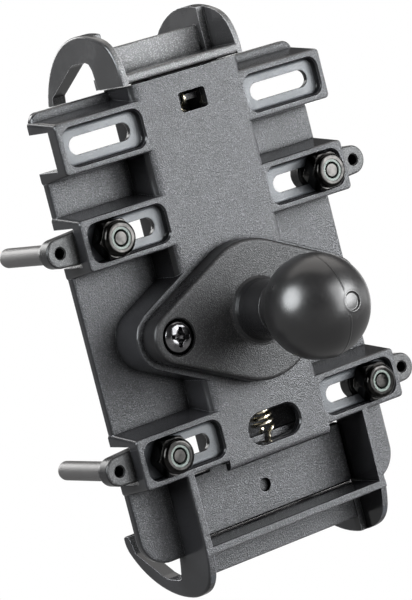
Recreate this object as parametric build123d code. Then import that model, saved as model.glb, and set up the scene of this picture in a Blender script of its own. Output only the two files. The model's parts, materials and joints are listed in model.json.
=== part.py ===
from build123d import *
import math
import os

# Spring-loaded phone cradle with a 1 inch ball on its back.
#
# Frame: the origin is the centre of the ball. +Z runs up the plate towards the
# sliding jaw, +Y points from the ball to the phone, +X is to the right when
# looking along +Y. A DEPTH is measured from the flat back face of the body:
# 0 on that face, positive towards the ball and negative towards the phone, so
# y = BALL_STANDOFF - depth. HALF_W and HALF_H are half sizes in X and Z.
# Cutting shapes overshoot the faces they open by a millimetre or so.

os.makedirs("parts", exist_ok=True)

# ---------------------------------------------------------- shared dimensions
BALL_R = 25.4 / 2
BALL_STANDOFF = 29.4      # ball centre above the body's back face
FIT_GAP = 0.02            # clearance between parts seated on each other

BASE_SCREW_X = 24.28
BASE_MID_R = 17.3         # rounding of the diamond's two wide corners
BASE_END_R = 6.57         # rounding of its two narrow corners

FRONT_DEPTH = -12.1       # phone side of the back plate
WING_Z = (49.9, 26.55, -27.33)    # centre heights of the three pairs of wings
RECESS_DEPTH = -2.2       # floor of the adjusting recess in each wing

FP_BACK = -11.0           # front plate: depths of its two faces
FP_FRONT = -13.4
FP_TOP_HALF_W = 14.6
FP_TOP_Z = 58.8
FP_SCREWS = ((-11.6, 52.0), (11.6, 52.0), (-11.6, -21.5), (11.6, -21.5))    # x, z

ANCHOR_TOP_Z = 53.4       # bars that hold the spring's two hooks
ANCHOR_LOW_Z = -31.9
ANCHOR_FRONT = -6.7       # depth of both bars' phone side


# ------------------------------------------------------------------- helpers
def at(depth):
    """Plane parallel to the back face: x is X, y is Z, extrude goes to the ball."""
    return Plane.XZ.offset(depth - BALL_STANDOFF)


def slab(sketch, start, end):
    """Sketch extruded from one depth to another."""
    return extrude(at(start) * sketch, amount=end - start)


def taper(sketch0, depth0, sketch1, depth1):
    return loft([at(depth0) * sketch0, at(depth1) * sketch1])


def rib(sketch, x0, x1):
    """Sketch of (depth, Z) extruded across the object between x0 and x1."""
    plane = Plane(origin=(x1, BALL_STANDOFF, 0), x_dir=(0, -1, 0), z_dir=(-1, 0, 0))
    return extrude(plane * sketch, amount=x1 - x0)


def rect(x0, x1, z0, z1, radius=0):
    width, height = x1 - x0, z1 - z0
    shape = RectangleRounded(width, height, radius) if radius else Rectangle(width, height)
    return Pos((x0 + x1) / 2, (z0 + z1) / 2) * shape


def band(half_w, z0, z1, radius=0):
    """Rectangle centred on x = 0."""
    return rect(-half_w, half_w, z0, z1, radius)


def disc(x, z, radius):
    return Pos(x, z) * Circle(radius)


def near(a, b):
    return abs(a - b) < 1e-3


def edge_depth(edge):
    return BALL_STANDOFF - edge.center().Y


def round_where(shape, test, radius):
    return fillet(shape.edges().filter_by(test), radius)


def round_at(shape, depth, radius):
    """Fillet every edge that lies at a depth."""
    return round_where(shape, lambda e: near(edge_depth(e), depth), radius)


def mirrored(shape):
    return mirror(shape, about=Plane.YZ)


def add_pair(body, part):
    return body + part + mirrored(part)


def cut_pair(body, part):
    return body - part - mirrored(part)


def cut_cross(head, x, z, angle, length, width, start, end):
    """Cut two crossed slots into a screw head."""
    for turn in (angle, angle + 90):
        head -= slab(Pos(x, z) * (Rot(0, 0, turn) * Rectangle(length, width)), start, end)
    return head


def outline(edges):
    face = Face(Wire(edges))
    return face if face.normal_at(face.center()).Z > 0 else -face


def save(shape, name):
    shape.label = name
    export_step(shape, f"parts/{name}.step")


def diamond(grow=0.0):
    """The base's outline: a wide disc and two end discs joined by straight flanks."""
    mid_r, end_r = BASE_MID_R + grow, BASE_END_R + grow
    sine = (mid_r - end_r) / BASE_SCREW_X
    cosine = math.sqrt(1 - sine * sine)
    mid_x, mid_z = mid_r * sine, mid_r * cosine
    end_x, end_z = BASE_SCREW_X + end_r * sine, end_r * cosine
    tip = BASE_SCREW_X + end_r
    return outline([
        ThreePointArc((end_x, -end_z), (tip, 0), (end_x, end_z)),
        Line((end_x, end_z), (mid_x, mid_z)),
        ThreePointArc((mid_x, mid_z), (0, mid_r), (-mid_x, mid_z)),
        Line((-mid_x, mid_z), (-end_x, end_z)),
        ThreePointArc((-end_x, end_z), (-tip, 0), (-end_x, -end_z)),
        Line((-end_x, -end_z), (-mid_x, -mid_z)),
        ThreePointArc((-mid_x, -mid_z), (0, -mid_r), (mid_x, -mid_z)),
        Line((mid_x, -mid_z), (end_x, -end_z))])


def hook(outer, inner, z_dir, x_in, x_wall, x_out, back, cut_z):
    """Right-hand hook, thinner behind the lip on its phone side.

    The profile follows tangent arcs through the outer points, leaving the first
    along z_dir, and returns by straight lines through the inner ones.
    """
    edges = []
    tangent = (0, z_dir)
    for start, end in zip(outer[:-1], outer[1:]):
        arc = TangentArc(start, end, tangent=tangent)
        edges.append(arc)
        tangent = arc % 1
    corners = [outer[-1]] + inner + [outer[0]]
    edges += [Line(a, b) for a, b in zip(corners[:-1], corners[1:])]
    body = rib(outline(edges), x_in, x_out)
    body = round_where(body, lambda e: near(e.center().X, x_out) and
                       (e.geom_type == GeomType.CIRCLE or near(edge_depth(e), back)), 0.7)
    return body - slab(rect(x_in - 1, x_wall, *cut_z), -10.5, 2)


# ---------------------------------------------------------------- back shell
# One moulding: plate, six wings with adjusting slots, hollow spine, seat for
# the ball base, tray walls and the two fixed lower hooks.
PLATE_HALF_W = 39.4
FLOOR_DEPTH = -10.0       # back face of the plate between the wings
PLATE_TOP_Z = 59.6
PLATE_BOTTOM_Z = -54.0
PLATE_LOW_CORNER = 7.5
PLATE_TOP_CORNER = 2.6
PLATE_EDGE_R = 0.9

SPINE_HALF_W = 16.4
SPINE_BOTTOM_Z = -34.2
SPINE_TOP_Z = 60.0
SPINE_EDGE_R = 2.8

WING_HALF_H = 6.2         # at the back face
WING_BASE_HALF_H = 7.6    # where the drafted wall meets the plate
WING_IN_X = 12.0
WING_END_X = 39.75
CHANNEL_HALF_H = 4.72     # leg channel on the wing's phone side
CHANNEL_IN_X = 15.6
CHANNEL_DEPTH = -3.6
RECESS_X = 26.83
RECESS_HALF_L = 11.2
RECESS_HALF_H = 4.6
RECESS_CORNER = 2.5
RIM_GROW = 0.42           # widening of the recess at its eased rim
SLOT_X = 27.0
SLOT_LENGTH = 17.65
SLOT_WIDTH = 4.4

SEAT_GROW = 1.5           # the raised seat stands this much outside the base
PILOT_R = 2.1             # holes for the base screws

TRAY_OUT_X = 28.15        # outer and inner faces of the tray's side walls
TRAY_IN_X = 26.2
TRAY_BOTTOM_Z = -53.8
TRAY_FLOOR_Z = -51.8
HOOK_IN_X = 24.5          # inner face of the lower hooks' lips
STRIP_Z = -60.9           # lower edge of the strip between the hooks
TAB_BOTTOM_Z = -36.2      # lip that closes the spine's lower end
TAB_HALF_W = 15.4

CAVITY_HALF_W = 13.6      # slider cavity
CAVITY_DEPTH = -2.2
CAVITY_BOTTOM_Z = -40.0
REBATE_DEPTH = -10.95     # seat of the front plate
REBATE_GAP = 0.2
GUIDE_R = 2.1             # bosses for the front plate's screws
GUIDE_HOLE_R = 1.05

WINDOW_Z = -28.9          # slotted window onto the spring's lower end
WINDOW_LENGTH = 15.6
WINDOW_WIDTH = 7.8
WINDOW_GROW = 0.8

# Lower hook's profile, (depth, z)
LOW_OUTER = [(0.0, -51.0), (-1.35, -58.4), (-5.8, -63.2), (-12.3, -64.75),
             (-29.3, -60.2), (-35.8, -54.3), (-36.9, -51.6)]
LOW_INNER = [(-36.5, -50.2), (-35.7, -49.7), (-34.2, -49.8), (-33.6, -51.4),
             (-32.7, -54.1), (-22.7, -59.5), (-20.6, -60.2), (-15.7, -60.3),
             (-14.6, -59.8), (-14.1, -58.6), (-13.4, -56.4), (-12.6, -53.0),
             (FRONT_DEPTH, -51.0), (FRONT_DEPTH, -30.0), (0.0, -30.0)]


def back_plate():
    body = slab(band(PLATE_HALF_W, PLATE_BOTTOM_Z, PLATE_TOP_Z, PLATE_LOW_CORNER),
                FRONT_DEPTH, FLOOR_DEPTH)
    body += slab(band(PLATE_HALF_W, 0, PLATE_TOP_Z, PLATE_TOP_CORNER),
                 FRONT_DEPTH, FLOOR_DEPTH)
    return round_where(body, lambda e: near(edge_depth(e), FLOOR_DEPTH) and
                       (e.center().Z > 50 or abs(abs(e.center().X) - PLATE_HALF_W) < 0.1
                        or e.center().Z < -46), PLATE_EDGE_R)


def spine():
    body = slab(band(SPINE_HALF_W, SPINE_BOTTOM_Z, SPINE_TOP_Z), FRONT_DEPTH, 0)
    return round_where(body, lambda e: near(edge_depth(e), 0) and
                       near(abs(e.center().X), SPINE_HALF_W), SPINE_EDGE_R)


def wing(z):
    top = [(0, WING_HALF_H), (FLOOR_DEPTH, WING_BASE_HALF_H), (FRONT_DEPTH, WING_BASE_HALF_H)]
    profile = Polygon(*top, *[(depth, -half) for depth, half in reversed(top)], align=None)
    body = rib(Pos(0, z) * profile, WING_IN_X, WING_END_X)
    body = round_where(body, lambda e: near(e.center().X, WING_END_X) and
                       -9.9 < edge_depth(e) < -0.1, 1.1)
    return round_where(body, lambda e: abs(edge_depth(e)) < 0.02 and
                       e.center().X > WING_IN_X + 0.1, 0.65)


def wing_cuts(z):
    """Adjusting recess, its eased rim, the through slot and the leg channel."""
    def recess_plan(grow=0.0):
        half_l, half_h = RECESS_HALF_L + grow, RECESS_HALF_H + grow
        return rect(RECESS_X - half_l, RECESS_X + half_l, z - half_h, z + half_h,
                    RECESS_CORNER + grow)

    recess = round_at(slab(recess_plan(), RECESS_DEPTH, 1.0), RECESS_DEPTH, 0.85)
    rim = taper(recess_plan(), -0.5, recess_plan(RIM_GROW), 0.05)
    slot = slab(Pos(SLOT_X, z) * SlotOverall(SLOT_LENGTH, SLOT_WIDTH),
                CHANNEL_DEPTH - 1, RECESS_DEPTH + 1)
    channel = slab(rect(CHANNEL_IN_X, WING_END_X + 3, z - CHANNEL_HALF_H, z + CHANNEL_HALF_H),
                   FRONT_DEPTH - 1, CHANNEL_DEPTH)
    return recess, rim, slot, channel


def cut_cavities(shell):
    """Slider cavity, seat of the front plate and the hollow of the tray."""
    shell -= slab(band(CAVITY_HALF_W, CAVITY_BOTTOM_Z, 62.0), FRONT_DEPTH - 2, CAVITY_DEPTH)
    shell -= slab(band(FP_TOP_HALF_W + REBATE_GAP, CAVITY_BOTTOM_Z, FP_TOP_Z + REBATE_GAP),
                  FRONT_DEPTH - 2, REBATE_DEPTH)
    hollow = band(TRAY_IN_X, TRAY_FLOOR_Z, -35.6)
    shell -= slab(hollow, FRONT_DEPTH - 2, -9.0)
    shell -= slab(hollow, -9.0, CAVITY_DEPTH)
    # open to the back beside the spine and below the lip
    shell = cut_pair(shell, slab(rect(SPINE_HALF_W, TRAY_IN_X, TRAY_FLOOR_Z, -35.0),
                                 CAVITY_DEPTH, 1))
    return shell - slab(band(TRAY_IN_X, TRAY_FLOOR_Z, TAB_BOTTOM_Z), CAVITY_DEPTH, 1)


def back_shell():
    shell = back_plate() + spine()
    for z in WING_Z:
        shell = add_pair(shell, wing(z))
    shell += round_at(slab(diamond(SEAT_GROW), FRONT_DEPTH, 0), 0, 0.5)

    # lower tray wall, strip between the hooks, hooks with the tray's side walls
    wall = slab(band(TRAY_OUT_X - 0.2, TRAY_BOTTOM_Z, TRAY_FLOOR_Z), FRONT_DEPTH, 0)
    wall = round_where(wall, lambda e: near(edge_depth(e), 0) and abs(e.center().X) < 1, 0.4)
    strip = slab(band(HOOK_IN_X + 0.5, STRIP_Z, TRAY_BOTTOM_Z + 1), -13.2, -10.9)
    strip = round_where(strip, lambda e: near(e.center().Z, STRIP_Z) and e.length > 30, 0.5)
    shell += wall
    shell += strip
    shell = add_pair(shell, hook(LOW_OUTER, LOW_INNER, -1, HOOK_IN_X, TRAY_IN_X, TRAY_OUT_X,
                                 back=0, cut_z=(-70, -20)))

    tab = slab(band(TAB_HALF_W, TAB_BOTTOM_Z, -33.0), CAVITY_DEPTH, 0)
    shell += round_where(tab, lambda e: near(edge_depth(e), 0) and
                         near(e.center().Z, TAB_BOTTOM_Z), 1.8)

    for z in WING_Z:
        for cut in wing_cuts(z):
            shell = cut_pair(shell, cut)
    shell = cut_cavities(shell)

    # the screw bosses double as guides beside the jaw's neck
    for x, z in FP_SCREWS:
        shell += slab(disc(x, z, GUIDE_R), REBATE_DEPTH, CAVITY_DEPTH + 0.2)
        shell -= slab(disc(x, z, GUIDE_HOLE_R), REBATE_DEPTH - 1, -4.2)

    # anchor bar for the spring's lower hook
    shell += slab(band(CAVITY_HALF_W + 0.5, ANCHOR_LOW_Z - 0.75, ANCHOR_LOW_Z + 0.75, 0.4),
                  ANCHOR_FRONT, -4.6)

    # windows onto the spring: a plain upper one, a lower one with an eased rim
    shell -= slab(band(4.0, 50.2, 55.2, 0.9), CAVITY_DEPTH - 1, 1)
    window = Pos(0, WINDOW_Z) * SlotOverall(WINDOW_LENGTH, WINDOW_WIDTH)
    window_rim = Pos(0, WINDOW_Z) * SlotOverall(WINDOW_LENGTH + WINDOW_GROW,
                                                WINDOW_WIDTH + WINDOW_GROW)
    shell -= slab(window, CAVITY_DEPTH - 0.5, 1)
    shell -= taper(window, -0.5, window_rim, 0.05)

    for x in (-BASE_SCREW_X, BASE_SCREW_X):
        shell -= slab(disc(x, 0, PILOT_R), -10.6, 1)
    return shell


# --------------------------------------------------- front plate and its screws
FP_LOW_HALF_W = 26.05
FP_LOW_Z0 = -51.65
FP_LOW_Z1 = -36.2
FP_DIMPLE_Z = -44.6       # blind round hole in the plate's back
FP_DIMPLE_R = 1.75
FP_HOLE_R = 1.3
FP_SINK_R = 2.45          # countersink

FS_THREAD_R = 1.02
FS_SHANK_R = 1.22
FS_HEAD_R = 2.3


def front_plate():
    body = slab(band(FP_TOP_HALF_W, FP_LOW_Z1 - 1, FP_TOP_Z, 0.6), FP_FRONT, FP_BACK)
    body += slab(band(FP_LOW_HALF_W, FP_LOW_Z0, FP_LOW_Z1, 0.8), FP_FRONT, FP_BACK)
    body = round_at(body, FP_FRONT, 0.6)
    body = chamfer(body.edges().filter_by(
        lambda e: near(edge_depth(e), FP_BACK) and abs(e.center().Z - FP_LOW_Z0) < 0.1), 0.5)
    body -= slab(disc(0, FP_DIMPLE_Z, FP_DIMPLE_R), FP_BACK - 1.3, FP_BACK + 1)
    for x, z in FP_SCREWS:
        body -= slab(disc(x, z, FP_HOLE_R), FP_FRONT - 1, FP_BACK + 1)
        body -= taper(disc(x, z, FP_SINK_R), FP_FRONT - 0.05,
                      disc(x, z, FP_HOLE_R), FP_FRONT + 1.15)
    return body


def front_screw(x, z):
    """Countersunk cross-head screw."""
    body = slab(disc(x, z, FS_THREAD_R), -11.5, -4.6)
    body += slab(disc(x, z, FS_SHANK_R), FP_FRONT + 1.0, FP_BACK + 0.02)
    body += taper(disc(x, z, FS_HEAD_R), FP_FRONT + 0.05, disc(x, z, FS_SHANK_R), FP_FRONT + 1.1)
    return cut_cross(body, x, z, 0, 2.3, 0.55, FP_FRONT - 1, FP_FRONT + 0.85)


# --------------------------------------------------------------- sliding jaw
JAW_OUT_X = 18.1          # hooks: outer face, inner face of wall and of lip
JAW_WALL_X = 16.4
JAW_IN_X = 14.35
JAW_Z = 60.3              # lower face of the jaw's head
JAW_BACK = -0.6
LEDGE_TOP_Z = 62.9
PANEL_TOP_Z = 69.3
PANEL_FRONT = -13.9
PANEL_BACK = -12.4
JAW_CORNER_R = 2.2
NECK_HALF_W = 9.35
NECK_BACK = -2.45
NECK_FRONT = -10.7
NECK_END_Z = -16.0
GROOVE_HALF_W = 4.2       # spring channel in the neck
GROOVE_TOP_Z = 58.6
GROOVE_DEPTH = -8.9

# Upper hook's profile, (depth, z)
TOP_OUTER = [(JAW_BACK, 62.0), (-1.9, 67.8), (-6.0, 71.8), (-15.5, 74.0),
             (-28.6, 69.8), (-35.0, 62.2), (-36.35, 59.1)]
TOP_INNER = [(-36.1, 58.5), (-35.5, 58.25), (-33.7, 58.3), (-33.3, 60.2), (-21.7, 66.8),
             (-20.3, 67.35), (-14.5, 67.4), (-13.2, 66.9), (-12.4, 65.4), (-12.1, 63.2),
             (-11.95, 61.5), (-11.6, 60.7), (-10.9, JAW_Z), (JAW_BACK, JAW_Z)]


def jaw_corner():
    """Rounded inner corner between the panel and the right hook."""
    y = BALL_STANDOFF - PANEL_BACK - JAW_CORNER_R
    size = JAW_CORNER_R + 0.2
    plan = Pos(JAW_WALL_X - JAW_CORNER_R / 2 + 0.1, y + JAW_CORNER_R / 2 + 0.1) * Rectangle(size, size)
    plan -= Pos(JAW_WALL_X - JAW_CORNER_R, y) * Circle(JAW_CORNER_R)
    return extrude(Plane.XY.offset(62.0) * plan, amount=7.0)


def top_jaw():
    arm = hook(TOP_OUTER, TOP_INNER, 1, JAW_IN_X, JAW_WALL_X, JAW_OUT_X,
               back=JAW_BACK, cut_z=(JAW_Z - 1, 80))
    ledge = slab(band(JAW_OUT_X - 0.75, JAW_Z, LEDGE_TOP_Z), PANEL_FRONT, JAW_BACK)
    for edge_z, radius in ((JAW_Z, 1.2), (LEDGE_TOP_Z, 0.9)):
        ledge = round_where(ledge, lambda e: near(edge_depth(e), JAW_BACK) and
                            near(e.center().Z, edge_z), radius)
    panel = slab(band(JAW_WALL_X, JAW_Z, PANEL_TOP_Z), PANEL_FRONT, PANEL_BACK)
    panel = round_where(panel, lambda e: near(e.center().Z, PANEL_TOP_Z) and e.length > 20, 0.5)
    jaw = arm + mirrored(arm) + ledge + panel
    jaw = add_pair(jaw, jaw_corner())

    neck = slab(band(NECK_HALF_W, NECK_END_Z, JAW_Z + 1.5), NECK_FRONT, NECK_BACK)
    neck -= slab(band(GROOVE_HALF_W, NECK_END_Z - 1, GROOVE_TOP_Z), GROOVE_DEPTH, NECK_BACK + 1)
    neck = chamfer(neck.edges().filter_by(
        lambda e: near(e.center().Z, NECK_END_Z) and near(abs(e.center().X), NECK_HALF_W)), 1.0)
    jaw += neck
    # anchor bar for the spring's upper hook
    return jaw + slab(band(GROOVE_HALF_W + 1, ANCHOR_TOP_Z - 0.7, ANCHOR_TOP_Z + 0.7, 0.4),
                      ANCHOR_FRONT, -4.5)


# -------------------------------------------------------------------- spring
# Extension spring: a coil on the centre line, with a hook at each end that
# turns into the YZ plane and curls round its anchor bar.
SPRING_Y = BALL_STANDOFF + 5.6
SPRING_R = 2.5            # mean coil radius
WIRE_R = 0.42
SPRING_TURNS = 52
HOOK_R = 1.82             # mean radius of the end hooks
SPRING_Z0 = -27.6         # coil's lower and upper ends
SPRING_Z1 = 49.4


def section_at(shape, point):
    """The wire's flat end face nearest to a point."""
    return min(shape.faces().filter_by(GeomType.PLANE), key=lambda f: (f.center() - point).length)


def wire_hook(coil, helix, end, bar_z):
    """One end hook, swept from the coil's end face: end 1 is the upper, 0 the lower."""
    sign = 1 if end else -1
    start = helix @ end

    def on_ring(degrees):
        angle = math.radians(degrees)
        return (0, SPRING_Y + sign * HOOK_R * math.cos(angle),
                bar_z + sign * HOOK_R * math.sin(angle))

    lead = Spline(start, (0.9, SPRING_Y + sign * 2.3, start.Z + sign * 1.3), on_ring(0),
                  tangents=((helix % end) * sign, (0, 0, sign)))
    path = Wire([lead, ThreePointArc(on_ring(0), on_ring(125), on_ring(250))])
    return sweep(section_at(coil, start), path=path)


def spring():
    """Skins of the coil and both hooks, closed into one solid."""
    height = SPRING_Z1 - SPRING_Z0
    helix = Helix(pitch=height / SPRING_TURNS, height=height, radius=SPRING_R,
                  center=(0, SPRING_Y, SPRING_Z0))
    coil = sweep(Plane(origin=helix @ 0, z_dir=helix % 0) * Circle(WIRE_R),
                 path=helix, is_frenet=True)
    skin = [f for f in coil.faces() if f.geom_type != GeomType.PLANE]
    for end, bar_z in ((1, ANCHOR_TOP_Z), (0, ANCHOR_LOW_Z)):
        hooked = wire_hook(coil, helix, end, bar_z)
        joint = section_at(hooked, helix @ end)
        skin += [f for f in hooked.faces() if not f.is_same(joint)]
    return Solid(Shell(skin))


# ------------------------------------------------- ball base, cover and screws
BASE_T = 5.8
CORE_R = 11.2             # core inside the ball's cover
STEM_R = 6.1              # stem where the cover's collar surrounds it
STEM_TOP = 21.0
GATE_R = 2.15             # shallow round recess beside the ball's pole
GATE_SINK = 0.46
BASE_HOLE_R = 2.25
BASE_BORE_R = 4.4         # counterbore for the screw head
BASE_BORE_DEPTH = 3.9

# (radius, depth) round the ball's axis
STEM_PROFILE = [(0, 3.0), (8.8, 3.0), (8.8, BASE_T), (8.2, BASE_T + 0.25),
                (7.65, BASE_T + 0.8), (7.3, BASE_T + 1.6), (7.1, BASE_T + 2.8),
                (6.75, 15.0), (6.5, 15.25), (STEM_R, 15.3), (STEM_R, STEM_TOP), (0, STEM_TOP)]
COLLAR_PROFILE = [(0, 15.4), (6.7, 15.4), (6.95, 15.65), (6.95, 22.0), (0, 22.0)]
STEM_HOLE = [(0, 14.0), (STEM_R + FIT_GAP, 14.0), (STEM_R + FIT_GAP, STEM_TOP + 0.1),
             (0, STEM_TOP + 0.1)]


def turned(points):
    """Solid turned about the ball's axis from (radius, depth) points."""
    face = make_face(Polyline(*[(r, -(BALL_STANDOFF - depth)) for r, depth in points], close=True))
    plane = Plane(origin=(0, 0, 0), x_dir=(1, 0, 0), z_dir=(0, 0, -1))
    return revolve(plane * face, axis=Axis.Y)


def ball_base():
    base = round_at(slab(diamond(), FIT_GAP, BASE_T), BASE_T, 1.1)
    base += turned(STEM_PROFILE)
    base += Sphere(CORE_R)
    for x in (-BASE_SCREW_X, BASE_SCREW_X):
        base -= slab(disc(x, 0, BASE_HOLE_R), -1, 10)
        base -= slab(disc(x, 0, BASE_BORE_R), BASE_BORE_DEPTH, 10)
        base -= taper(disc(x, 0, BASE_BORE_R), BASE_T - 0.35,
                      disc(x, 0, BASE_BORE_R + 0.4), BASE_T + 0.05)
    return base


def ball_cover():
    cover = Sphere(BALL_R) + turned(COLLAR_PROFILE)
    cover -= Sphere(CORE_R + FIT_GAP)
    cover -= turned(STEM_HOLE)
    gate = Vector(0.118, -0.9925, 0.03).normalized()
    gate_floor = Plane(origin=gate * (BALL_R - GATE_SINK), z_dir=gate)
    return cover - extrude(gate_floor * Circle(GATE_R), amount=2)


def base_screw(x):
    """Round-headed screw with a cross slot and a tapered square socket."""
    head_top = 6.5
    cross_turn = -14
    shank = slab(disc(x, 0, 2.05), -9.6, 4.2)
    head = slab(disc(x, 0, 4.0), BASE_BORE_DEPTH + FIT_GAP, head_top)
    head = round_at(head, head_top, 1.5)
    head = cut_cross(head, x, 0, cross_turn, 5.0, 1.3, 4.6, 8)
    small, large = [Pos(x, 0) * (Rot(0, 0, cross_turn) * Rectangle(size, size))
                    for size in (1.7, 3.2)]
    head -= taper(small, 4.3, large, 6.6)
    return shank + head


# ---------------------------------------------------------------- four legs
LEG_ARM = 12.6            # bolt axis to peg axis
LEG_R = 4.5               # round end at the bolt
EAR_R = 3.6               # round end at the peg
LEG_BACK = -3.65
LEG_FRONT = -8.1
PEG_R = 1.75
PEG_TIP = -28.0
PEG_HOLE_R = 1.3
SLEEVE_R = 2.4            # sleeve on the peg
SLEEVE_TIP = -29.6
SLEEVE_END = -9.05
BOLT_R = 2.08             # No. 8-32
BOLT_END = 4.0
BOLT_HEAD = LEG_FRONT + 0.1
NUT_FLATS = 8.73
NUT_BASE = -1.6
NUT_HEX_H = 4.3
NUT_TOP = NUT_BASE + 5.9
# (row, wing height, bolt x): legs as set in the middle and lower wings
LEG_ROWS = (("upper", WING_Z[1], 32.0), ("lower", WING_Z[2], 31.25))


def taper_bar(x0, r0, x1, r1):
    """Bar with two round ends of different radius."""
    sine = (r0 - r1) / (x1 - x0)
    cosine = math.sqrt(1 - sine * sine)
    ax, az = x0 + r0 * sine, r0 * cosine
    bx, bz = x1 + r1 * sine, r1 * cosine
    return outline([ThreePointArc((bx, -bz), (x1 + r1, 0), (bx, bz)), Line((bx, bz), (ax, az)),
                    ThreePointArc((ax, az), (x0 - r0, 0), (ax, -az)), Line((ax, -az), (bx, -bz))])


def leg(x, z):
    peg_x = x + LEG_ARM
    body = slab(Pos(0, z) * taper_bar(x, LEG_R, peg_x, EAR_R), LEG_FRONT, LEG_BACK)
    body = round_at(body, LEG_BACK, 0.6)
    body = round_at(body, LEG_FRONT, 0.9)
    body += slab(disc(peg_x, z, 2.9), -9.0, LEG_FRONT + 0.5)
    body += slab(disc(peg_x, z, PEG_R), PEG_TIP, -8.5)
    # blind hole behind the peg, then the bolt's hole and counterbore
    body -= slab(disc(peg_x, z, PEG_HOLE_R), -10.5, 0)
    body -= taper(disc(peg_x, z, PEG_HOLE_R), LEG_BACK - 0.35,
                  disc(peg_x, z, PEG_HOLE_R + 0.35), LEG_BACK + 0.02)
    body -= slab(disc(x, z, 2.15), -12, 0)
    return body - slab(disc(x, z, 3.65), -12, LEG_FRONT + 2.35)


def sleeve(x, z):
    peg_x = x + LEG_ARM
    body = slab(disc(peg_x, z, SLEEVE_R), SLEEVE_TIP, SLEEVE_END)
    body = round_at(body, SLEEVE_TIP, 2.0)
    body = round_at(body, SLEEVE_END, 0.25)
    return body - slab(disc(peg_x, z, PEG_R + FIT_GAP), PEG_TIP - FIT_GAP, 0)


def bolt(x, z):
    shank = slab(disc(x, z, BOLT_R), -7.0, BOLT_END)
    shank = chamfer(shank.edges().filter_by(lambda e: near(edge_depth(e), BOLT_END)), 0.35)
    head = round_at(slab(disc(x, z, 3.55), BOLT_HEAD, LEG_FRONT + 2.3), BOLT_HEAD, 0.7)
    return shank + cut_cross(head, x, z, 20, 4.0, 0.95, LEG_FRONT - 1, LEG_FRONT + 1.5)


def nut(x, z):
    """Lock nut: chamfered hexagon under a round crown, bored for the nylon ring."""
    hexagon = RegularPolygon(NUT_FLATS / 2, 6, major_radius=False, rotation=0)
    body = slab(Pos(x, z) * hexagon, NUT_BASE, NUT_BASE + NUT_HEX_H)
    crown = round_at(slab(disc(x, z, NUT_FLATS / 2 - 0.05), NUT_BASE, NUT_TOP), NUT_TOP, 1.0)
    blank = slab(disc(x, z, 5.04), NUT_BASE - 0.01, NUT_BASE + NUT_HEX_H + 0.01)
    blank = chamfer(blank.edges().filter_by(GeomType.CIRCLE), 0.4)
    body = (body & blank) + crown
    body -= slab(disc(x, z, BOLT_R + 0.05), -5, 9)
    body -= slab(disc(x, z, 3.05), NUT_BASE + 3.9, NUT_BASE + 5.35)
    return body - slab(disc(x, z, 2.75), NUT_BASE + 3.9, 9)


def nylon_ring(x, z):
    body = slab(disc(x, z, 3.02), NUT_BASE + 3.92, NUT_BASE + 5.33)
    body += slab(disc(x, z, 2.72), NUT_BASE + 5.2, NUT_BASE + 5.7)
    return body - slab(disc(x, z, BOLT_R + 0.03), -5, 9)


def washer(x, z):
    body = slab(disc(x, z, 3.7), RECESS_DEPTH + 0.01, NUT_BASE - 0.01)
    return body - slab(disc(x, z, 2.2), -5, 5)


# --------------------------------------------------------------------- build
for build in (back_shell, front_plate, top_jaw, spring, ball_base, ball_cover):
    save(build(), build.__name__)
save(Compound(children=[front_screw(x, z) for x, z in FP_SCREWS]), "front_plate_screws")
save(Compound(children=[base_screw(x) for x in (-BASE_SCREW_X, BASE_SCREW_X)]), "base_screws")
for row, z, x in LEG_ROWS:
    for build in (leg, sleeve, bolt, nut, nylon_ring, washer):
        part = build(x, z)
        save(mirrored(part), f"left_{row}_{build.__name__}")
        save(part, f"right_{row}_{build.__name__}")
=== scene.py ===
# A spring-loaded phone clamp on a ball. The ball's centre is the origin and its pole points to -y;
# the phone side faces +y. The spring runs up z, from the cradle to the jaw.
import json
import math

import bmesh
import bpy
from mathutils import Matrix, Vector


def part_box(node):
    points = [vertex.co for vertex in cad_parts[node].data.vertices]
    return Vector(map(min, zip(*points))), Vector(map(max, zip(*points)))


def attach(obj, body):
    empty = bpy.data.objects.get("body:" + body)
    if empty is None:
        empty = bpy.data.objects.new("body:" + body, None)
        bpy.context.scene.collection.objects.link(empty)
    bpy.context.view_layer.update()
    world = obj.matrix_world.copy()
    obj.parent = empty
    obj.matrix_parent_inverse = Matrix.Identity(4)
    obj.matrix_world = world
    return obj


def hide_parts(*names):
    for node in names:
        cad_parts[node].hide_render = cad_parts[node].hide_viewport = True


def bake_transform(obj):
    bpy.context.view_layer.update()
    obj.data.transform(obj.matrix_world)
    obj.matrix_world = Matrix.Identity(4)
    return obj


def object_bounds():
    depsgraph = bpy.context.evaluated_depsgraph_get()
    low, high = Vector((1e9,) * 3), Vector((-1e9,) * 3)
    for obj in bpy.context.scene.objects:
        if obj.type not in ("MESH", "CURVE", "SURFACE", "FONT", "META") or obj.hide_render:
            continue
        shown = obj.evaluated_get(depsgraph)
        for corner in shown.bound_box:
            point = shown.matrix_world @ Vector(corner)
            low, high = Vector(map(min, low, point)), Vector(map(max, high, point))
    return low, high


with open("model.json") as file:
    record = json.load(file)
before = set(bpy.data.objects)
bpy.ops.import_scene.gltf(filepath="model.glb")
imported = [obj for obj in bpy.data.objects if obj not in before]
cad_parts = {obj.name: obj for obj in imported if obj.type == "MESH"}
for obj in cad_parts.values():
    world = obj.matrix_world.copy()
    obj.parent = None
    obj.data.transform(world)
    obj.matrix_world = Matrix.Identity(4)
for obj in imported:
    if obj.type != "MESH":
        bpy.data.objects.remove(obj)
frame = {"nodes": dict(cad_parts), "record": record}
cad_lo, cad_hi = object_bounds()
scene = bpy.context.scene

MM = 0.001
BODY_Y = 29.4  # plane that screw offsets are measured from; an offset grows towards -y
LEGS = ("left_upper", "right_upper", "left_lower", "right_lower")


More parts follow.
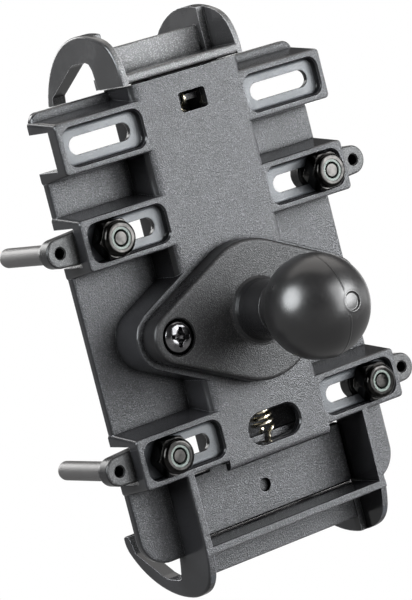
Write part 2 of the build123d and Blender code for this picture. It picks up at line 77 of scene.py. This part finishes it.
# ------------------------------------------------------------------ node helpers
class Nodes:
    """A node tree built with short calls. An input takes a value or another node's output."""

    def __init__(self, owner):
        owner.use_nodes = True
        self.tree = owner.node_tree
        self.tree.nodes.clear()

    def put(self, socket, value):
        if isinstance(value, bpy.types.NodeSocket):
            self.tree.links.new(value, socket)
        elif socket.type == "RGBA" and len(value) == 3:
            socket.default_value = (*value, 1.0)
        else:
            socket.default_value = value

    def node(self, kind, inputs=None, **settings):
        node = self.tree.nodes.new("ShaderNode" + kind)
        for key, value in settings.items():
            setattr(node, key, value)
        for key, value in (inputs or {}).items():
            self.put(node.inputs[key], value)
        return node

    def math(self, operation, a, b=0.0):
        return self.node("Math", {0: a, 1: b, 2: 0.0}, operation=operation).outputs[0]

    def times(self, value, by):
        return self.math("MULTIPLY", value, by)

    def plus(self, a, b):
        return self.math("ADD", a, b)

    def dot(self, a, b):
        return self.node("VectorMath", {0: a, 1: b}, operation="DOT_PRODUCT").outputs["Value"]

    def ramp(self, value, over=(0.0, 1.0), to=(0.0, 1.0), smooth=True):
        """Maps the range `over` onto the range `to`."""
        inputs = {"Value": value, "From Min": over[0], "From Max": over[1],
                  "To Min": to[0], "To Max": to[1]}
        kind = "SMOOTHSTEP" if smooth else "LINEAR"
        return self.node("MapRange", inputs, interpolation_type=kind).outputs[0]


class Material(Nodes):
    """A Principled material textured in object space."""

    def __init__(self, name):
        self.material = bpy.data.materials.new(name)
        super().__init__(self.material)
        self.shader = self.node("BsdfPrincipled")
        self.node("OutputMaterial", {"Surface": self.shader.outputs["BSDF"]})
        self.place = self.node("TexCoord").outputs["Object"]

    def set(self, **inputs):
        for key, value in inputs.items():
            self.put(self.shader.inputs[key.replace("_", " ")], value)

    def noise(self, scale, detail=2.0, rough=0.5, vector=None):
        inputs = {"Vector": vector or self.place, "Scale": scale,
                  "Detail": detail, "Roughness": rough}
        return self.node("TexNoise", inputs).outputs[0]

    def streaks(self, stretch, detail, rough=0.5):
        """Noise with its own scale along each axis."""
        vector = self.node("VectorMath", {0: self.place, 1: stretch}, operation="MULTIPLY")
        return self.noise(scale=1.0, detail=detail, rough=rough, vector=vector.outputs[0])

    def mix(self, factor, a, b):
        # Sockets 6 and 7 are the colours of a Mix node, and output 2 is its colour.
        return self.node("Mix", {0: factor, 6: a, 7: b}, data_type="RGBA").outputs[2]

    def xyz(self, vector):
        return self.node("SeparateXYZ", {0: vector}).outputs

    def between(self, value, low, high):
        above = self.math("GREATER_THAN", value, low)
        return self.times(above, by=self.math("LESS_THAN", value, high))

    def bevel(self, radius, samples=4):
        return self.node("Bevel", {"Radius": radius * MM}, samples=samples).outputs[0]

    def bump(self, height, strength, distance, normal=None):
        inputs = {"Height": height, "Strength": strength, "Distance": distance * MM}
        if normal is not None:
            inputs["Normal"] = normal
        return self.node("Bump", inputs).outputs[0]

    def hollow(self, distance, lowest):
        """1 in the open, falling to `lowest` in creases and deep pockets."""
        node = self.node("AmbientOcclusion", {"Distance": distance * MM}, samples=6)
        return self.ramp(node.outputs["AO"], over=(0.25, 0.90), to=(lowest, 1.0))


def scaled_colour(colour, factor):
    return tuple(channel * factor for channel in colour)


# --------------------------------------------------------------------- materials
def recess_mask(m, facing):
    """1 on the y-facing floors of the shell's two recesses, one at each side of x = 0."""
    x, y, _ = m.xyz(m.place)
    depth = m.between(y, low=0.0309, high=0.0333)
    width = m.between(m.math("ABSOLUTE", x), low=0.0152, high=0.0385)
    return m.times(m.times(depth, by=width), by=m.math("GREATER_THAN", facing, 0.8))


def moulded(name, dark, light, rough_flat, rough_wall, grain, specular=0.5, recess=False):
    """Glass-filled nylon: pebbled on faces across y, the draw, and smoother on drawn walls."""
    m = Material(name)
    rounded = m.bevel(radius=0.27, samples=6)
    true_normal = m.node("NewGeometry").outputs["True Normal"]
    facing = m.math("ABSOLUTE", m.xyz(true_normal)[1])
    flat = m.ramp(facing, over=(0.55, 0.9))
    blotch = m.noise(scale=75.0, detail=3.0, rough=0.55)
    fine = m.noise(scale=3700.0, detail=3.0, rough=0.65)
    cells = {"Vector": m.place, "Scale": 2900.0, "Smoothness": 0.7}
    pebbles = m.node("TexVoronoi", cells, feature="SMOOTH_F1").outputs["Distance"]
    streak = m.streaks(stretch=(1500.0, 1500.0, 260.0), detail=2.0)

    # Edges are 1 where the rounded normal leans off the true one, except inside tight creases.
    tight = m.hollow(distance=1.3, lowest=0.0)
    edge_highlight = m.times(m.ramp(m.dot(rounded, true_normal), over=(0.995, 0.86)), by=tight)
    crease_shade = m.times(m.hollow(distance=3.2, lowest=0.45),
                     by=m.ramp(tight, to=(0.10, 1.0), smooth=False))

    # Colour: blotches, pale specks on the flats, painted shade on the walls, painted highlights on
    # the edges, painted shade in the creases.
    colour = m.mix(m.ramp(blotch, over=(0.35, 0.7)), dark, light)
    speck = m.times(m.ramp(fine, over=(0.50, 0.66)), by=m.ramp(flat, to=(0.04, 0.9)))
    colour = m.mix(speck, colour, scaled_colour(light, factor=4.2))
    # Painted shade: walls that do not face along y are darkened towards near-black.
    colour = m.mix(m.ramp(flat, to=(0.55, 0.0)), colour, (0.004, 0.004, 0.0045))
    # Painted highlight: the edges are lightened in colour to look like bright edge lines.
    colour = m.mix(m.times(edge_highlight, by=0.75), colour, scaled_colour(light, factor=6.5))
    # Painted shade: creases and deep pockets are darkened in colour; the same mask also lowers the
    # specular there.
    colour = m.mix(m.math("SUBTRACT", 1.0, crease_shade), colour, (0.002, 0.002, 0.002))

    rough = m.plus(m.ramp(flat, to=(rough_wall, rough_flat)),
                   m.ramp(blotch, over=(0.3, 0.75), to=(-0.04, 0.05)))
    rough = m.plus(rough, m.ramp(streak, over=(0.4, 0.7), to=(-0.02, 0.03)))

    height = m.plus(m.times(pebbles, by=0.9), m.times(fine, by=0.8))
    strength = m.times(m.ramp(flat, to=(0.06, 1.0)), by=grain)
    if recess:
        inside = recess_mask(m, facing)
        colour = m.mix(inside, colour, (0.036, 0.039, 0.044))
        strength = m.times(strength, by=m.math("SUBTRACT", 1.0, m.times(inside, by=0.6)))

    gloss = m.plus(m.ramp(flat, to=(specular * 0.62, specular)), m.times(edge_highlight, by=0.45))
    m.set(
        Base_Color=colour,
        Roughness=m.math("MAXIMUM", rough, 0.12),
        Normal=m.bump(height, strength, distance=0.15, normal=rounded),
        Specular_IOR_Level=m.times(gloss, by=crease_shade),
        Specular_Tint=(0.955, 0.985, 1.0),
    )
    return m.material


def rubber(name, dark, light, rough, relief):
    """Blotched rubber with scuffs drawn out along y and z."""
    m = Material(name)
    blotch = m.noise(scale=60.0, detail=3.0, rough=0.6)
    fine = m.noise(scale=1800.0, detail=4.0, rough=0.6)
    scuff = m.streaks(stretch=(2200.0, 260.0, 420.0), detail=3.0, rough=0.7)
    roughness = m.plus(m.ramp(blotch, over=(0.3, 0.75), to=(rough - 0.04, rough + 0.04)),
                       m.ramp(scuff, over=(0.55, 0.75), to=(0.0, 0.08)))
    roughness = m.plus(roughness, m.ramp(fine, over=(0.4, 0.7), to=(-0.02, 0.02)))
    height = m.plus(fine, m.times(scuff, by=0.4))
    m.set(
        Base_Color=m.mix(m.ramp(blotch, over=(0.3, 0.75)), dark, light),
        Roughness=roughness,
        Normal=m.bump(height, strength=relief, distance=0.02),
        Specular_IOR_Level=0.5,
    )
    return m.material


def metal(name, dark, light, rough, turned=True, relief=0.25):
    """Metal with dirt patches and, where turned, fine lathe lines across y."""
    m = Material(name)
    rounded = m.bevel(radius=0.12)
    blotch = m.noise(scale=420.0, detail=3.0, rough=0.6)
    fine = m.noise(scale=5200.0)
    lines = m.streaks(stretch=(900.0, 9000.0, 900.0), detail=1.0) if turned else fine
    dirt = m.ramp(m.noise(scale=900.0, detail=4.0, rough=0.7), over=(0.56, 0.72))
    colour = m.mix(m.ramp(blotch, over=(0.35, 0.7)), dark, light)
    colour = m.mix(m.times(dirt, by=0.5), colour, scaled_colour(dark, factor=0.35))
    height = m.plus(lines, m.times(fine, by=0.4))
    m.set(
        Base_Color=colour,
        Roughness=m.plus(m.ramp(blotch, over=(0.3, 0.75), to=(rough - 0.05, rough + 0.08)),
                         m.times(dirt, by=0.15)),
        Metallic=1.0,
        Normal=m.bump(height, strength=relief, distance=0.015, normal=rounded),
    )
    return m.material


def ring_nylon(name):
    """Grey-green nylon that lets a little light through."""
    m = Material(name)
    rounded = m.bevel(radius=0.12)
    blotch = m.noise(scale=900.0, detail=3.0, rough=0.6)
    colour = m.mix(m.ramp(blotch, over=(0.35, 0.7)), (0.085, 0.105, 0.094), (0.13, 0.155, 0.142))
    stain = m.ramp(m.noise(scale=2400.0, detail=3.0, rough=0.7), over=(0.56, 0.7))
    m.set(
        Base_Color=m.mix(m.times(stain, by=0.5), colour, (0.05, 0.055, 0.045)),
        Roughness=m.ramp(blotch, over=(0.3, 0.7), to=(0.36, 0.5)),
        Normal=m.bump(blotch, strength=0.3, distance=0.04, normal=rounded),
        Specular_IOR_Level=0.22,
        Subsurface_Weight=0.25,
        Subsurface_Radius=(0.0006, 0.0007, 0.0006),
        Subsurface_Scale=1.0,
    )
    return m.material


MATERIALS = {
    "shell_nylon": moulded(
        "shell_nylon_mat", dark=(0.016, 0.016, 0.017), light=(0.026, 0.026, 0.028),
        rough_flat=0.43, rough_wall=0.17, grain=1.15, recess=True),
    "jaw_nylon": moulded(
        "jaw_nylon_mat", dark=(0.034, 0.0335, 0.034), light=(0.050, 0.049, 0.050),
        rough_flat=0.42, rough_wall=0.20, grain=0.85, specular=0.6),
    "leg_nylon": moulded(
        "leg_nylon_mat", dark=(0.014, 0.0136, 0.0136), light=(0.021, 0.0205, 0.0205),
        rough_flat=0.44, rough_wall=0.28, grain=0.45, specular=0.38),
    "base_plastic": moulded(
        "base_plastic_mat", dark=(0.008, 0.0078, 0.008), light=(0.014, 0.0135, 0.0138),
        rough_flat=0.46, rough_wall=0.30, grain=0.8, specular=0.30),
    "ball_rubber": rubber(
        "ball_rubber_mat", dark=(0.0045, 0.0044, 0.0046), light=(0.009, 0.0086, 0.0088),
        rough=0.33, relief=0.12),
    "sleeve_rubber": rubber(
        "sleeve_rubber_mat", dark=(0.025, 0.0237, 0.0237), light=(0.035, 0.0335, 0.033),
        rough=0.40, relief=0.08),
    "black_steel": metal(
        "black_steel_mat", dark=(0.10, 0.099, 0.103), light=(0.20, 0.197, 0.203),
        rough=0.15, relief=0.12),
    "zinc_steel": metal(
        "zinc_steel_mat", dark=(0.009, 0.0088, 0.0085), light=(0.026, 0.025, 0.024), rough=0.13),
    "spring_steel": metal(
        "spring_steel_mat", dark=(0.62, 0.56, 0.42), light=(0.80, 0.75, 0.62),
        rough=0.22, turned=False),
    "ring_nylon": ring_nylon("ring_nylon_mat"),
}


def dress_cad_pieces():
    slots = {part["node"]: part["material_slot"] for part in frame["record"]["subparts"]}
    for name, obj in frame["nodes"].items():
        material = MATERIALS[slots[name]]
        if not obj.material_slots:
            obj.data.materials.append(material)
        for slot in obj.material_slots:
            slot.material = material


dress_cad_pieces()


# ------------------------------------------------------------------ mesh helpers
def clamp01(value):
    return min(1.0, max(0.0, value))


def fix_normals(obj):
    bm = bmesh.new()
    bm.from_mesh(obj.data)
    bmesh.ops.recalc_face_normals(bm, faces=bm.faces)
    bm.to_mesh(obj.data)
    bm.free()
    obj.data.update()


def loft(name, points, sides, start, end, slot=None):
    """Skins rings of `sides` points, and closes them with fans to a start and an end point."""
    faces = []
    last = len(points) - sides
    for first in range(0, last, sides):
        for j in range(sides):
            a, b = first + j, first + (j + 1) % sides
            faces.append((a, a + sides, b + sides, b))
    faces += [(len(points), j, (j + 1) % sides) for j in range(sides)]
    faces += [(len(points) + 1, last + (j + 1) % sides, last + j) for j in range(sides)]

    mesh = bpy.data.meshes.new(name)
    mesh.from_pydata([(x * MM, y * MM, z * MM) for x, y, z in (*points, start, end)], [], faces)
    mesh.validate()
    mesh.update()
    obj = bpy.data.objects.new(name, mesh)
    scene.collection.objects.link(obj)
    if slot:
        mesh.materials.append(MATERIALS[slot])
    fix_normals(obj)
    return obj


def smooth(obj, angle):
    """Shades smooth across edges up to an angle in degrees."""
    for face in obj.data.polygons:
        face.use_smooth = True
    obj.data.set_sharp_from_angle(angle=math.radians(angle))


def cut_away(obj, cutter):
    modifier = obj.modifiers.new("cut", "BOOLEAN")
    modifier.operation = "DIFFERENCE"
    modifier.solver = "EXACT"
    modifier.object = cutter
    depsgraph = bpy.context.evaluated_depsgraph_get()
    mesh = bpy.data.meshes.new_from_object(obj.evaluated_get(depsgraph))
    obj.modifiers.remove(modifier)
    obj.data = mesh
    bpy.data.objects.remove(cutter)


# ------------------------------------------------------------------- ball cover
BALL_RADIUS = 12.7
BALL_INNER_RADIUS = 11.22
BORE_RADIUS = 6.12
BORE_INNER_Y = 9.40  # where the bore opens into the hollow
COLLAR_RADIUS = 6.95
COLLAR_END_Y = 14.0
SEAM_HEIGHT, SEAM_WIDTH = 0.085, 0.17  # ridge round the ball in the plane x = 0
SEAM_FADE_START, SEAM_FADE = 2.6, 1.2  # distance from the y axis over which it fades in
GATE_DIRECTION = Vector((0.118, -0.9925, 0.03)).normalized()
GATE_RADIUS, GATE_DEPTH, GATE_WALL = 2.05, 0.46, 0.3
GATE_REACH = 3.4  # the gate recess changes nothing beyond this
LIP_RADIUS, LIP_HEIGHT, LIP_WIDTH = 2.5, 0.045, 0.24  # raised lip round the gate recess


def ball_profile():
    """Stations (radius, y) of the outer sphere, then of the collar, bore and hollow."""
    sphere = []
    tilt = 0.55  # degrees from the pole
    while tilt < 123.1:
        angle = math.radians(tilt)
        sphere.append((BALL_RADIUS * math.sin(angle), -BALL_RADIUS * math.cos(angle)))
        tilt += 0.55 if tilt < 22 else 1.1
    root_y = math.sqrt(BALL_RADIUS**2 - COLLAR_RADIUS**2)  # where the collar meets the sphere
    inside = [
        (7.28, root_y - 0.12), (7.06, root_y + 0.25), (6.97, root_y + 0.7),
        (COLLAR_RADIUS, 13.2), (6.93, 13.75), (6.84, 13.93), (6.68, COLLAR_END_Y),
        (BORE_RADIUS + 0.1, COLLAR_END_Y), (BORE_RADIUS, 13.9), (BORE_RADIUS, BORE_INNER_Y),
    ]
    for k in range(1, 30):
        angle = math.acos(-BORE_INNER_Y / BALL_INNER_RADIUS) * (1 - k / 30)
        inside.append((BALL_INNER_RADIUS * math.sin(angle), -BALL_INNER_RADIUS * math.cos(angle)))
    return sphere, inside


def with_relief(point, radius):
    """Moves a point of the outer sphere out by the seam and in by the gate recess."""
    direction = point.normalized()
    fade = clamp01((radius - SEAM_FADE_START) / SEAM_FADE)
    relief = SEAM_HEIGHT * fade * math.exp(-((point.x / SEAM_WIDTH) ** 2))
    cosine = max(-1.0, min(1.0, direction.dot(GATE_DIRECTION)))
    distance = math.acos(cosine) * BALL_RADIUS
    if distance < GATE_REACH:
        wall = clamp01((distance - GATE_RADIUS) / GATE_WALL)
        dip = -GATE_DEPTH * (1 - wall * wall * (3 - 2 * wall))
        lip = LIP_HEIGHT * math.exp(-(((distance - LIP_RADIUS) / LIP_WIDTH) ** 2))
        relief = relief * wall + dip + lip
    return direction * (BALL_RADIUS + relief)


def ball_cover():
    """Rubber ball with its mould seam, gate recess and the collar that grips the neck."""
    # Every 3 degrees, with finer steps across the seam.
    azimuths = {i * 3.0 for i in range(120)}
    azimuths |= {round(seam + i * 0.3, 3) for seam in (90.0, 270.0) for i in range(-14, 15)}
    azimuths = [math.radians(degrees) for degrees in sorted(azimuths)]
    sphere, inside = ball_profile()
    points = []
    for row, (radius, y) in enumerate(sphere + inside):
        for azimuth in azimuths:
            point = Vector((radius * math.cos(azimuth), y, radius * math.sin(azimuth)))
            points.append(with_relief(point, radius) if row < len(sphere) else point)
    obj = loft("ball_cover_rubber", points, len(azimuths), start=(0, -BALL_RADIUS + GATE_DEPTH, 0),
               end=(0, -BALL_INNER_RADIUS, 0), slot="ball_rubber")
    smooth(obj, angle=40.0)
    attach(obj, "cradle")
    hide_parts("ball_cover")


ball_cover()

# ----------------------------------------------------------------------- spring
SPRING_Y = 35.0
COIL_RADIUS = 2.5
COIL_LOW_Z, COIL_HIGH_Z = -29.6, 49.4
COIL_TURNS, COIL_STEPS = 53, 30  # steps per turn
EYE_LOW_Z, EYE_HIGH_Z = -31.9, 53.4  # centres of the end eyes
EYE_RADIUS = 1.82
WIRE_RADIUS, WIRE_SIDES = 0.42, 10


def hermite(start, start_tangent, end, end_tangent, steps=14):
    """Points of a cubic curve, without its last one."""
    points = []
    for i in range(steps):
        s = i / steps
        points.append(start * (2 * s**3 - 3 * s**2 + 1) + start_tangent * (s**3 - 2 * s**2 + s)
                      + end * (-2 * s**3 + 3 * s**2) + end_tangent * (s**3 - s**2))
    return points


def spring_end(side, coil_z, eye_z, bend_z):
    """Wire from the coil's end over a bend to an open eye in the plane x = 0."""
    coil_end = Vector((COIL_RADIUS, SPRING_Y, coil_z))
    bend = Vector((1.05, SPRING_Y + side * 2.26, coil_z + side * bend_z))
    eye_start = Vector((0, SPRING_Y + side * EYE_RADIUS, eye_z))
    coil_tangent = Vector((0, side * 1.0, side * 0.094)) * 3.2
    bend_tangent = Vector((-1.9, side * 0.35, side * 1.5))
    points = hermite(coil_end, coil_tangent, bend, bend_tangent)
    points += hermite(bend, bend_tangent, eye_start, Vector((0, 0, side * 2.6)))
    for k in range(27):
        angle = math.radians(k * 10)
        points.append(Vector((0, SPRING_Y + side * EYE_RADIUS * math.cos(angle),
                              eye_z + side * EYE_RADIUS * math.sin(angle))))
    return points


def coil():
    steps = COIL_TURNS * COIL_STEPS
    points = []
    for i in range(1, steps):
        angle = 2 * math.pi * COIL_TURNS * i / steps
        points.append(Vector((COIL_RADIUS * math.cos(angle),
                              SPRING_Y + COIL_RADIUS * math.sin(angle),
                              COIL_LOW_Z + (COIL_HIGH_Z - COIL_LOW_Z) * i / steps)))
    return points


def spring():
    low = spring_end(-1, COIL_LOW_Z, EYE_LOW_Z, bend_z=0.55)[::-1]
    line = low + coil() + spring_end(1, COIL_HIGH_Z, EYE_HIGH_Z, bend_z=1.25)

    # The wire's cross-section is carried along the line; it starts in the plane x = 0.
    points = []
    normal = Vector((1, 0, 0))
    for i, centre in enumerate(line):
        tangent = (line[min(i + 1, len(line) - 1)] - line[max(i - 1, 0)]).normalized()
        normal = (normal - tangent * normal.dot(tangent)).normalized()
        side = tangent.cross(normal)
        for j in range(WIRE_SIDES):
            angle = 2 * math.pi * j / WIRE_SIDES
            points.append(centre + normal * (WIRE_RADIUS * math.cos(angle))
                          + side * (WIRE_RADIUS * math.sin(angle)))
    bulge = WIRE_RADIUS * 0.35
    obj = loft("spring_wire", points, WIRE_SIDES,
               start=line[0] - (line[1] - line[0]).normalized() * bulge,
               end=line[-1] + (line[-1] - line[-2]).normalized() * bulge, slot="spring_steel")
    smooth(obj, angle=60.0)
    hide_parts("spring")
    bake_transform(obj)


spring()

# ------------------------------------------------------------- bolts and screws
# One quarter of the drive recess: (along, across) a wing, as shares of its half width.
RECESS_QUARTER = (
    (1.0, -0.21), (1.0, 0.21), (0.72, 0.23), (0.50, 0.27), (0.38, 0.38), (0.27, 0.50), (0.23, 0.72),
)


def turned_point(centre, radius, offset, step, sides):
    """A point round an axis along y; the centre is (x, z)."""
    angle = 2 * math.pi * step / sides
    return (centre[0] + radius * math.cos(angle), BODY_Y - offset,
            centre[1] + radius * math.sin(angle))


def turned_rings(centre, profile, sides):
    return [turned_point(centre, radius, offset, j, sides)
            for radius, offset in profile for j in range(sides)]


def recess_cutter(centre, turn, half_width, face, depth):
    """Four-winged tapered recess, cut towards +y from a face at an offset."""
    above = 1.2
    outline = []
    for quarter in range(4):
        angle = math.radians(turn + 90 * quarter)
        for u, v in RECESS_QUARTER:
            outline.append((u * math.cos(angle) - v * math.sin(angle),
                            u * math.sin(angle) + v * math.cos(angle)))
    # Levels: offset, share of the full width.
    levels = ((face + above, 1.10), (face, 1.0), (face - depth * 0.85, 0.74), (face - depth, 0.30))
    points = [(centre[0] + u * half_width * share, BODY_Y - offset,
               centre[1] + v * half_width * share)
              for offset, share in levels for u, v in outline]
    return loft("cutter", points, len(outline),
                start=(centre[0], BODY_Y - face - above, centre[1]),
                end=(centre[0], BODY_Y - face + depth * 1.08, centre[1]))


BOLT_SIDES = 48
THREAD_PITCH = 0.794
THREAD_CREST, THREAD_ROOT = 2.07, 1.72  # radii
BOLT_TIP_RADIUS, BOLT_TIP_LENGTH = 1.55, 0.55
BOLT_HEAD_HEIGHT = 2.20
PLAIN_SHANK_END = 3.3  # from the head's top
# Bolt head: radius, offset from its top; from the middle out and down to the underside.
BOLT_HEAD = (
    (0.6, 0), (1.5, 0), (2.85, 0.02), (3.20, 0.14), (3.45, 0.38), (3.55, 0.72), (3.55, 1.85),
    (3.52, 2.06), (3.30, BOLT_HEAD_HEIGHT),
)


def bolt_shank(centre, head, tip):
    """Straight rings whose radius follows the helix, plain under the head, tapered at the tip."""
    first = head + BOLT_HEAD_HEIGHT
    length = tip - 0.02 - first
    steps = int(length / (THREAD_PITCH / 8))
    points = []
    for i in range(steps + 1):
        offset = first + length * i / steps
        taper = clamp01((tip - offset) / BOLT_TIP_LENGTH)
        limit = BOLT_TIP_RADIUS + (THREAD_CREST - BOLT_TIP_RADIUS) * taper
        for j in range(BOLT_SIDES):
            phase = ((offset / THREAD_PITCH) - j / BOLT_SIDES) % 1.0
            rise = clamp01(abs(2 * phase - 1) * 1.25 - 0.12)  # flattens the crest and root
            radius = THREAD_ROOT + (THREAD_CREST - THREAD_ROOT) * rise
            if offset < head + PLAIN_SHANK_END:
                radius = THREAD_CREST
            points.append(turned_point(centre, min(radius, limit), offset, j, BOLT_SIDES))
    return points


def bolt(leg):
    """Threaded bolt with its head towards +y, placed by the CAD bolt's box."""
    lo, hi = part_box(leg + "_bolt")
    centre = ((lo.x + hi.x) * 500, (lo.z + hi.z) * 500)
    tip = BODY_Y - lo.y * 1000
    head = BODY_Y - hi.y * 1000
    profile = [(radius, head + offset) for radius, offset in BOLT_HEAD]
    points = turned_rings(centre, profile, BOLT_SIDES) + bolt_shank(centre, head, tip)
    obj = loft(leg + "_threaded_bolt", points, BOLT_SIDES,
               start=(centre[0], BODY_Y - head, centre[1]),
               end=(centre[0], BODY_Y - tip, centre[1]), slot="zinc_steel")

    # The head faces +y, so the cutter is mirrored in y about the head's top.
    cutter = recess_cutter(centre, turn=20.0, half_width=1.95, face=0.0, depth=1.5)
    for vertex in cutter.data.vertices:
        offset = BODY_Y - vertex.co.y * 1000
        vertex.co.y = (BODY_Y - (head - offset)) * MM
    fix_normals(cutter)
    cut_away(obj, cutter)
    smooth(obj, angle=32.0)
    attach(obj, leg + "_leg")
    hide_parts(leg + "_bolt")


SCREW_X = 24.28  # either side of the middle
SCREW_SIDES = 72
SCREW_HEAD_RADIUS = 4.0
SCREW_RIM, SCREW_DOME = 4.72, 1.78  # offset of the rim's top, and the dome's height over it


def base_screw(side, x):
    """Dome-headed screw with its head towards -y."""
    # Radius, offset: shank, then the head's underside and rim.
    profile = [(2.05, -9.6), (2.05, 3.9), (3.75, 3.92), (3.95, 4.0),
               (SCREW_HEAD_RADIUS, 4.25), (SCREW_HEAD_RADIUS, SCREW_RIM)]
    for i in range(1, 13):
        angle = math.radians(90 * i / 13)
        profile.append((SCREW_HEAD_RADIUS * math.cos(angle) ** 0.62,
                        SCREW_RIM + SCREW_DOME * math.sin(angle)))
    profile.append((0.4, SCREW_RIM + SCREW_DOME))
    centre = (x, 0.0)
    obj = loft(f"base_screw_{side}", turned_rings(centre, profile, SCREW_SIDES), SCREW_SIDES,
               start=(x, BODY_Y - profile[0][1], 0.0), end=(x, BODY_Y - profile[-1][1], 0.0),
               slot="black_steel")
    cut_away(obj, recess_cutter(centre, turn=-14.0, half_width=2.55, face=6.45, depth=2.3))
    smooth(obj, angle=28.0)
    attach(obj, "cradle")
    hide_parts("base_screws")


for leg in LEGS:
    bolt(leg)
base_screw("left", -SCREW_X)
base_screw("right", SCREW_X)

# -------------------------------------------------------------- camera and light
# The camera's own axes in the scene.
RIGHT = Vector((0.79584, -0.55377, -0.24490))
UP = Vector((0.27244, -0.03373, 0.96158))
BACK = Vector((-0.54075, -0.83199, 0.12402))
CAMERA_PLACE = (-0.42042, -0.60108, 0.09947)
LIGHT_TARGET = Vector((0.0, 0.030, 0.0))
FLOOR_HALF, FLOOR_DROP = 40.0, 0.16  # half width, and drop below the object

# Name, direction from the target (right, up, back), distance, size, watts, colour, shape.
COOL = (0.98, 0.99, 1.0)
SOFTBOXES = (
    ("box_left", (-0.814, 0.24, 0.531), 0.75, (0.54, 0.58), 14.0, (0.95, 0.98, 1.0), "ELLIPSE"),
    ("box_right", (0.74, 0.30, 0.56), 0.52, (0.30, 0.50), 3.9, COOL, "RECTANGLE"),
    ("box_side", (0.93, 0.34, 0.27), 0.52, (0.28, 0.28), 5.0, COOL, "RECTANGLE"),
    ("box_top", (-0.10, 0.93, -0.30), 0.80, (1.10, 0.90), 5.5, (1.0, 0.965, 0.93), "RECTANGLE"),
    ("box_back", (-0.75, 0.30, -0.65), 0.90, (0.40, 0.60), 6.0, (1.0, 0.99, 0.98), "RECTANGLE"),
    ("box_phone_side", (0.15, -0.12, -0.98), 1.00, (0.80, 0.80), 3.5, (1, 1, 1), "RECTANGLE"),
    ("box_far_right", (0.86, 0.05, -0.50), 1.00, (0.55, 0.60), 1.6, COOL, "RECTANGLE"),
)


def add_camera():
    data = bpy.data.cameras.new("camera")
    data.lens = 188.94
    data.sensor_width = 36.0
    data.clip_start = 0.01
    data.clip_end = 200.0
    camera = bpy.data.objects.new("camera", data)
    scene.collection.objects.link(camera)
    turn = Matrix((RIGHT, UP, BACK)).transposed().to_4x4()
    camera.matrix_world = Matrix.Translation(CAMERA_PLACE) @ turn
    scene.camera = camera


def softbox(name, direction, distance, size, watts, colour, shape):
    """Area light aimed at the target."""
    right, up, back = direction
    outward = (RIGHT * right + UP * up + BACK * back).normalized()
    light = bpy.data.lights.new(name, "AREA")
    light.shape = shape
    light.size, light.size_y = size
    light.energy = watts
    light.color = colour
    obj = bpy.data.objects.new(name, light)
    obj.location = LIGHT_TARGET + outward * distance
    obj.rotation_mode = "QUATERNION"
    obj.rotation_quaternion = (-outward).to_track_quat("-Z", "Y")
    scene.collection.objects.link(obj)


def white_to_camera(nodes, output, shader, colour, strength):
    """Plain white where the camera sees it, and the given light for everything else."""
    lit = nodes.node(shader, {"Color": colour, "Strength": strength})
    seen = nodes.node(shader, {"Color": (1, 1, 1), "Strength": 1.0})
    to_camera = nodes.node("LightPath").outputs["Is Camera Ray"]
    mix = nodes.node("MixShader", {0: to_camera, 1: lit.outputs[0], 2: seen.outputs[0]})
    nodes.node(output, {"Surface": mix.outputs[0]})


def add_world():
    """Studio light that is stronger from below."""
    world = bpy.data.worlds.new("studio")
    scene.world = world
    nodes = Nodes(world)
    height = nodes.dot(nodes.node("TexCoord").outputs["Generated"], tuple(UP))
    strength = nodes.ramp(height, over=(-0.35, 0.10), to=(0.48, 0.10))
    white_to_camera(nodes, "OutputWorld", "Background", (1.0, 0.99, 0.985), strength)


def add_floor():
    """Plain pale floor, well below the object."""
    mesh = bpy.data.meshes.new("floor")
    half, z = FLOOR_HALF, cad_lo.z - FLOOR_DROP
    corners = [(-half, -half, z), (half, -half, z), (half, half, z), (-half, half, z)]
    mesh.from_pydata(corners, [], [(0, 1, 2, 3)])
    floor = bpy.data.objects.new("floor", mesh)
    scene.collection.objects.link(floor)
    paper = bpy.data.materials.new("floor_paper")
    white_to_camera(Nodes(paper), "OutputMaterial", "Emission", (1.0, 0.995, 0.99), strength=0.48)
    mesh.materials.append(paper)


add_camera()
for box in SOFTBOXES:
    softbox(*box)
add_world()
add_floor()

scene.view_settings.view_transform = "Standard"
scene.view_settings.look = "None"
scene.view_settings.exposure = 0.0
scene.view_settings.gamma = 1.0
